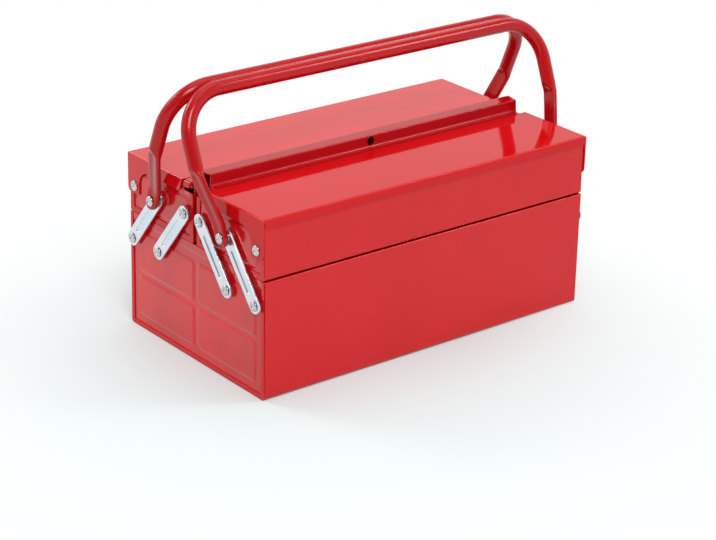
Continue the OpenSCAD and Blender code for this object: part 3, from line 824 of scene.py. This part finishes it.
def link_shape():
    """A link standing upright on its lower pivot, with its outer face towards +X."""
    bm = bmesh.new()
    half = LINK_W / 2
    outline = [bm.verts.new((LINK_T, y, z)) for y, z in
               ((-half, -half), (half, -half), (half, LINK_LEN + half), (-half, LINK_LEN + half))]
    bm.faces.new(outline)
    round_corners(bm, lambda p: True, half * 0.998, 10)
    bmesh.ops.remove_doubles(bm, verts=bm.verts[:], dist=0.00005)
    middle = bm.faces[:]
    bmesh.ops.inset_region(bm, faces=middle, thickness=(LINK_W - GROOVE_W) / 2,
                           use_boundary=True, use_even_offset=True)
    ends_in = (LINK_LEN - GROOVE_L) / 2 - GROOVE_W / 2
    for vert in {v for f in middle for v in f.verts}:
        vert.co.z += ends_in if vert.co.z < LINK_LEN / 2 else -ends_in
    bmesh.ops.inset_region(bm, faces=middle, thickness=GROOVE_WALL, use_boundary=True, use_even_offset=True)
    for vert in {v for f in middle for v in f.verts}:
        vert.co.x -= GROOVE_D
    front = bm.faces[:]
    back = bmesh.ops.extrude_face_region(bm, geom=front, use_keep_orig=True)["geom"]
    for vert in (g for g in back if isinstance(g, bmesh.types.BMVert)):
        vert.co.x = 0.0
    bmesh.ops.recalc_face_normals(bm, faces=bm.faces[:])
    rim = [e for e in bm.edges if len(e.link_faces) == 2 and e.calc_face_angle() > math.radians(60)
           and e.verts[0].co.x > LINK_T - 1e-6 and e.verts[1].co.x > LINK_T - 1e-6]
    bmesh.ops.bevel(bm, geom=rim, offset=RIM_R, offset_type="OFFSET", segments=3, profile=0.5,
                    affect="EDGES", material=-1, clamp_overlap=False)
    return bm


for side, row in ((-1, "front"), (1, "rear")):
    for hand in ("left", "right"):
        for rank, low_y in (("outer", OUT_LOW_Y), ("inner", IN_LOW_Y)):
            link = link_shape()
            bmesh.ops.transform(link, verts=link.verts[:], matrix=Matrix.Translation(
                (LINK_X, -low_y, LOW_PIVOT_Z)) @ Matrix.Rotation(-LINK_LEAN, 4, "X"))
            if hand == "left":
                flipped(link, "x")
            if side > 0:
                flipped(link, "y")
            piece(link, f"{row}_{rank}_strip_{hand}", link_zinc, f"{row}_{rank}_links",
                  [f"{row}_{rank}_link_{hand}"], 0.0, LINK_SMOOTH)

# %% [markdown]
# ## The rivets
# Every pivot is a rivet with a low domed head outside, a collar that keeps the moving strip
# off the wall, and a flat head inside. The tool that forms the head leaves a small dimple in
# its middle. One profile for each kind is spun about the rivet's axis, as the real one is
# turned and then headed.

# %% A rivet
HEAD_R = 4.6 * MM
HEAD_T = 1.6 * MM
SHANK_R = 2.5 * MM
COLLAR_R = 4.5 * MM
INNER_X = (172.2 * MM, 173.0 * MM)
HEAD_X = 179.3 * MM
HANDLE_X = 181.2 * MM
HANDLE_HEAD_X = 185.9 * MM
HINGE_HEAD_X = 176.7 * MM
GAP = 0.3 * MM
SIDES = 32
DIMPLE_R = 1.75 * MM
DIMPLE_D = 0.85 * MM
RIVET_SMOOTH = math.radians(50)


def spun(bm, profile, y, z):
    """Spins (x, radius) points about the X axis through (y, z)."""
    points = [bm.verts.new((x, y, z + radius)) for x, radius in profile]
    line = [bm.edges.new(pair) for pair in zip(points, points[1:])]
    bmesh.ops.spin(bm, geom=points + line, cent=(0, y, z), axis=(1, 0, 0), dvec=(0, 0, 0),
                   angle=math.tau, steps=SIDES, use_merge=True, use_duplicate=False)
    bmesh.ops.remove_doubles(bm, verts=bm.verts[:], dist=1e-6)


def dome(x):
    """The head's profile from its rim to its middle: a small flat edge, a dome and a dimple."""
    rim = 0.35 * MM
    arc = [math.radians(angle) for angle in (0, 13, 26, 39, 52, 64)]
    return [(x, HEAD_R - 0.2 * MM), (x + 0.15 * MM, HEAD_R)] + [
        (x + rim + (HEAD_T - rim) * math.sin(a), HEAD_R * math.cos(a)) for a in arc] + [
        (x + HEAD_T - 0.12 * MM, DIMPLE_R), (x + HEAD_T - 0.55 * MM, DIMPLE_R - 0.35 * MM),
        (x + HEAD_T - DIMPLE_D, DIMPLE_R - 0.9 * MM), (x + HEAD_T - DIMPLE_D, 0.0)]


def rivet(bm, y, z, steps, head_x):
    profile = [(INNER_X[0], 0.0), (INNER_X[0], COLLAR_R - 0.2 * MM), (INNER_X[0] + 0.2 * MM, COLLAR_R),
               (INNER_X[1], COLLAR_R), (INNER_X[1], SHANK_R)]
    for x0, x1 in steps:
        profile += [(x0, SHANK_R), (x0, COLLAR_R), (x1, COLLAR_R), (x1, SHANK_R)]
    profile += [(head_x, SHANK_R)] + dome(head_x)
    spun(bm, profile, y, z)


# %% All rivets
WALL_COLLAR = (HALF_L, LINK_X - GAP)
ARM_COLLAR = (HEAD_X, HANDLE_X - GAP)


def rivets(name, body, nodes, spots, hands, side):
    bm = bmesh.new()
    for y, z, steps, head_x in spots:
        rivet(bm, y, z, steps, head_x)
    if hands == "both":
        bmesh.ops.mirror(bm, geom=bm.verts[:] + bm.edges[:] + bm.faces[:], axis="X", merge_dist=1e-6)
    elif hands == "left":
        flipped(bm, "x")
    if side > 0:
        flipped(bm, "y")
    bmesh.ops.recalc_face_normals(bm, faces=bm.faces[:])
    return piece(bm, name, rivet_zinc, body, nodes, 0.0, RIVET_SMOOTH)


low_spots = [(y, LOW_PIVOT_Z, [WALL_COLLAR], HEAD_X) for y in (-OUT_LOW_Y, -IN_LOW_Y, IN_LOW_Y, OUT_LOW_Y)]
for hand in ("left", "right"):
    rivets("base_rivet_heads_" + hand, "base", ["base_rivets_" + hand], low_spots, hand, -1)
for side, row in ((-1, "front"), (1, "rear")):
    rivets(row + "_tray_rivet_heads", row + "_tray", [row + "_tray_rivets"],
           [(-IN_UP_Y, UP_PIVOT_Z, [WALL_COLLAR], HEAD_X)], "both", side)
    rivets(row + "_handle_rivet_heads", row + "_tray", [row + "_handle_rivets"],
           [(-OUT_UP_Y, UP_PIVOT_Z, [WALL_COLLAR, ARM_COLLAR], HANDLE_HEAD_X)], "both", side)
    rivets(row + "_lid_rivet_heads", row + "_tray", [row + "_lid_rivets"],
           [(-HINGE_Y, HINGE_Z, [], HINGE_HEAD_X)], "both", side)

# %% [markdown]
# ## The handles
# A handle is one tube, bent twice, whose ends were squeezed flat and drilled. A curve with a
# round bevel can't flatten, so the tube is grown ring by ring: straight along the grip, a
# quarter spin for the bend, down the arm, and then rings that change from round to flat. The
# flat part keeps two soft ridges with a shallow channel between them, as squeezed tube does.

# %% Sizes of a handle
TUBE_R = 6.25 * MM
ARM_X = 193.4 * MM
GRIP_H = 119.5 * MM
BEND_R = 37.5 * MM
FLAT_X = 183.4 * MM
FLAT_W = 15.5 * MM
FLAT_T = 4.4 * MM
FLAT_TOP = 53.0 * MM
SPLAY_FROM = 11.0 * MM
ROUND_FROM = 61.0 * MM
CHANNEL = 0.25
EDGE_AT = 0.76
GRIP_Y = 6.55 * MM
HANDLE_LEAN = math.asin((OUT_UP_Y - GRIP_Y) / GRIP_H)
RING = 40
TUBE_SMOOTH = math.radians(60)
# Heights of the arm's rings above the pivot, in millimetres, closest where the tube changes.
ARM_RINGS = (65.0, 63.5, 62, 61, 60, 59, 58, 57, 56, 55, 54, 53, 51.5, 50, 47, 42, 36, 29, 22, 16, 13,
             11, 9, 6, 3, 0, -2.2, -4.2, -5.8, -6.9, -7.5, -7.73)
ROUND_ABOVE = 63


# %% Flattening a ring
def eased(value):
    value = min(max(value, 0.0), 1.0)
    return value * value * (3 - 2 * value)


def arm_axis(height):
    """How far out the arm's middle is at a height above the pivot."""
    if height <= SPLAY_FROM:
        return FLAT_X
    share = min((height - SPLAY_FROM) / (FLAT_TOP - SPLAY_FROM), 1.0)
    return FLAT_X + (ARM_X - FLAT_X) * (0.85 * share + 0.15 * eased(share))


def flatten(vert, angle, height):
    """Places one point of a ring on the squeezed end of the arm."""
    across = math.sin(angle)
    reach = abs(across)
    if reach > EDGE_AT:
        thick = math.sqrt(max(1 - ((reach - EDGE_AT) / (1 - EDGE_AT)) ** 2, 0.0))
    else:
        thick = 1 - CHANNEL * (1 - eased(reach / EDGE_AT))
    squeezed = eased((ROUND_FROM - height) / (ROUND_FROM - FLAT_TOP) - 0.25 * reach)
    if height < FLAT_TOP - 3 * MM:
        squeezed = 1.0
    width = FLAT_W / 2
    if height < 0:
        width *= math.sqrt(max(1 - (height / (FLAT_W / 2)) ** 2, 0.0))
    round_x, round_y = TUBE_R * math.cos(angle), TUBE_R * across
    flat_x = math.copysign(FLAT_T / 2 * thick, math.cos(angle))
    flat_y = width * across
    vert.co = Vector((arm_axis(height) + round_x + (flat_x - round_x) * squeezed,
                      round_y + (flat_y - round_y) * squeezed, height))


# %% A handle's half
def ring_after(bm, ring):
    """A new ring grown from the last one, with its points in the same order."""
    edges = [bm.edges.get((ring[k], ring[(k + 1) % RING])) for k in range(RING)]
    grown = bmesh.ops.extrude_edge_only(bm, edges=edges)["geom"]
    fresh = {g for g in grown if isinstance(g, bmesh.types.BMVert)}
    return [next(e.other_vert(v) for e in v.link_edges if e.other_vert(v) in fresh) for v in ring]


def half_handle():
    bm = bmesh.new()
    start = Matrix.Translation((0, 0, GRIP_H)) @ Matrix.Rotation(math.pi / 2, 4, "Y")
    bmesh.ops.create_circle(bm, segments=RING, radius=TUBE_R, matrix=start)
    grip_end = ARM_X - BEND_R
    grown = bmesh.ops.extrude_edge_only(bm, edges=bm.edges[:])["geom"]
    moved = [g for g in grown if isinstance(g, bmesh.types.BMVert)]
    for vert in moved:
        vert.co.x = grip_end
    ring_edges = [e for e in bm.edges if all(near(v.co.x, grip_end) for v in e.verts)]
    turned = bmesh.ops.spin(bm, geom=moved + ring_edges, cent=(grip_end, 0, GRIP_H - BEND_R),
                            axis=(0, 1, 0), dvec=(0, 0, 0), angle=math.pi / 2, steps=16,
                            use_merge=False, use_duplicate=False)["geom_last"]
    ring = [g for g in turned if isinstance(g, bmesh.types.BMVert)]
    ring.sort(key=lambda v: math.atan2(v.co.y, v.co.x - ARM_X))
    angles = [math.atan2(v.co.y, v.co.x - ARM_X) for v in ring]
    for height in ARM_RINGS:
        ring = ring_after(bm, ring)
        for vert, angle in zip(ring, angles):
            if height > ROUND_ABOVE:
                vert.co.z = height * MM
            else:
                flatten(vert, angle, height * MM)
    bmesh.ops.contextual_create(bm, geom=ring)
    return bm


def handle_shape():
    bm = half_handle()
    bmesh.ops.mirror(bm, geom=bm.verts[:] + bm.edges[:] + bm.faces[:], axis="X", merge_dist=1e-6)
    bmesh.ops.remove_doubles(bm, verts=bm.verts[:], dist=1e-6)
    bmesh.ops.recalc_face_normals(bm, faces=bm.faces[:])
    bmesh.ops.transform(bm, verts=bm.verts[:], matrix=Matrix.Translation(
        (0, -OUT_UP_Y, UP_PIVOT_Z)) @ Matrix.Rotation(-HANDLE_LEAN, 4, "X"))
    return bm


for side, row in ((-1, "front"), (1, "rear")):
    tube = handle_shape()
    if side > 0:
        flipped(tube, "y")
    piece(tube, row + "_tube", tube_painted_shade_red, row + "_handle", [row + "_handle"], 0.0,
          TUBE_SMOOTH)

# %% [markdown]
# ## The floor and the light
# The photograph was taken on white: no horizon, a soft grey shade round the box, and white
# all round in the reflections. The floor is a pale sheet whose paint has a little less red, painted against
# the red light that the box bounces onto it. For the camera it fades to white with distance, so no light
# has to burn it out, and near the box it keeps its shadow.
# The room that the paint and the zinc mirror has a darker side and a darker ceiling, which
# give the glossy panels and tubes their shape.

# %% Floor
FLOOR_SIZE = 12.0
FLOOR_Z = -0.0004
# The floor's paint has less red than green and blue: painted against the red light that the box bounces
# onto the floor.
FLOOR_PAINT_AGAINST_RED_BOUNCE = (0.725, 0.82, 0.82, 1.0)
SHADE_MIDDLE = (-0.08, -0.06, 0.0)
FADE_FROM = 0.10
FADE_TO = 0.43
LEAST_WHITE = 0.03
floor_shape = bmesh.new()
bmesh.ops.create_grid(floor_shape, x_segments=1, y_segments=1, size=FLOOR_SIZE / 2,
                      matrix=Matrix.Translation((0, 0, FLOOR_Z)))
floor_mesh = bpy.data.meshes.new("floor")
floor_shape.to_mesh(floor_mesh)
floor_shape.free()
floor = bpy.data.objects.new("floor", floor_mesh)
scene.collection.objects.link(floor)


def seen_directly(tree):
    """1 for camera rays and for rays that a gloss or glass sends on."""
    path = tree.nodes.new("ShaderNodeLightPath")
    either = maths(tree, "MAXIMUM", path.outputs["Is Camera Ray"], path.outputs["Is Glossy Ray"])
    return maths(tree, "MAXIMUM", either, path.outputs["Is Transmission Ray"])


floor_paint = bpy.data.materials.new("pale_floor")
floor_paint.use_nodes = True
tree = floor_paint.node_tree
floor_shader = tree.nodes["Principled BSDF"]
floor_shader.inputs["Base Color"].default_value = FLOOR_PAINT_AGAINST_RED_BOUNCE
floor_shader.inputs["Roughness"].default_value = 0.9
floor_shader.inputs["Specular IOR Level"].default_value = 0.1
white = tree.nodes.new("ShaderNodeEmission")
distance = tree.nodes.new("ShaderNodeVectorMath")
distance.operation = "DISTANCE"
distance.inputs[1].default_value = SHADE_MIDDLE
tree.links.new(tree.nodes.new("ShaderNodeTexCoord").outputs["Object"], distance.inputs[0])
fade = spread(tree, distance.outputs["Value"], FADE_FROM, FADE_TO, LEAST_WHITE, 1.0)
mix = tree.nodes.new("ShaderNodeMixShader")
tree.links.new(maths(tree, "MULTIPLY", seen_directly(tree), fade), mix.inputs["Fac"])
tree.links.new(floor_shader.outputs["BSDF"], mix.inputs[1])
tree.links.new(white.outputs["Emission"], mix.inputs[2])
tree.links.new(mix.outputs["Shader"], tree.nodes["Material Output"].inputs["Surface"])
floor_mesh.materials.append(floor_paint)
print("floor:", FLOOR_SIZE, "m")

# %% World: white to look at, softer as a light
FILL = 0.50
DARK_SIDE = (-0.62, -0.78, 0.0)
SIDE_FROM, SIDE_TO = 0.15, 0.85
BRIGHT_GLOSS, DARK_GLOSS = 0.93, 0.20
CEILING_FROM, CEILING_TO = 0.55, 0.80
CEILING = 0.35
world = bpy.data.worlds.new("white_room")
scene.world = world
world.use_nodes = True
tree = world.node_tree
fill = tree.nodes["Background"]
fill.inputs["Color"].default_value = (1.0, 1.0, 1.0, 1.0)
fill.inputs["Strength"].default_value = FILL
backdrop = tree.nodes.new("ShaderNodeBackground")
backdrop.inputs["Color"].default_value = (1.0, 1.0, 1.0, 1.0)
towards = tree.nodes.new("ShaderNodeVectorMath")
towards.operation = "DOT_PRODUCT"
towards.inputs[1].default_value = DARK_SIDE
direction = tree.nodes.new("ShaderNodeTexCoord").outputs["Generated"]
tree.links.new(direction, towards.inputs[0])
side_shade = spread(tree, towards.outputs["Value"], SIDE_FROM, SIDE_TO, BRIGHT_GLOSS, DARK_GLOSS)
height = tree.nodes.new("ShaderNodeSeparateXYZ")
tree.links.new(direction, height.inputs[0])
top_shade = spread(tree, height.outputs["Z"], CEILING_FROM, CEILING_TO, 1.0, CEILING)
shade = maths(tree, "MULTIPLY", side_shade, top_shade)
eye = tree.nodes.new("ShaderNodeLightPath").outputs["Is Camera Ray"]
tree.links.new(maths(tree, "MAXIMUM", eye, shade), backdrop.inputs["Strength"])
mix = tree.nodes.new("ShaderNodeMixShader")
tree.links.new(seen_directly(tree), mix.inputs["Fac"])
tree.links.new(fill.outputs["Background"], mix.inputs[1])
tree.links.new(backdrop.outputs["Background"], mix.inputs[2])
tree.links.new(mix.outputs["Shader"], tree.nodes["World Output"].inputs["Surface"])
print("world fill:", FILL)

# %% Soft lamps
LAMPS = (("key_soft_box", (-0.75, -1.25, 1.6), 0.8, 20.0),
         ("overhead_soft_box", (0.1, 0.1, 1.9), 1.6, 8.0),
         ("rear_edge_light", (-0.8, 1.45, 1.2), 0.7, 8.0),
         ("front_edge_light", (1.35, -0.95, 1.65), 0.55, 8.0))
LAMPS_AIM = Vector((0, 0, 0.08))
for lamp_name, spot, size, power in LAMPS:
    lamp_data = bpy.data.lights.new(lamp_name, "AREA")
    lamp_data.shape = "SQUARE"
    lamp_data.size = size
    lamp_data.energy = power
    lamp = bpy.data.objects.new(lamp_name, lamp_data)
    lamp.location = spot
    lamp.rotation_euler = (LAMPS_AIM - Vector(spot)).to_track_quat("-Z", "Y").to_euler()
    scene.collection.objects.link(lamp)
scene.view_settings.view_transform = "Standard"
print("lamps:", len(LAMPS))
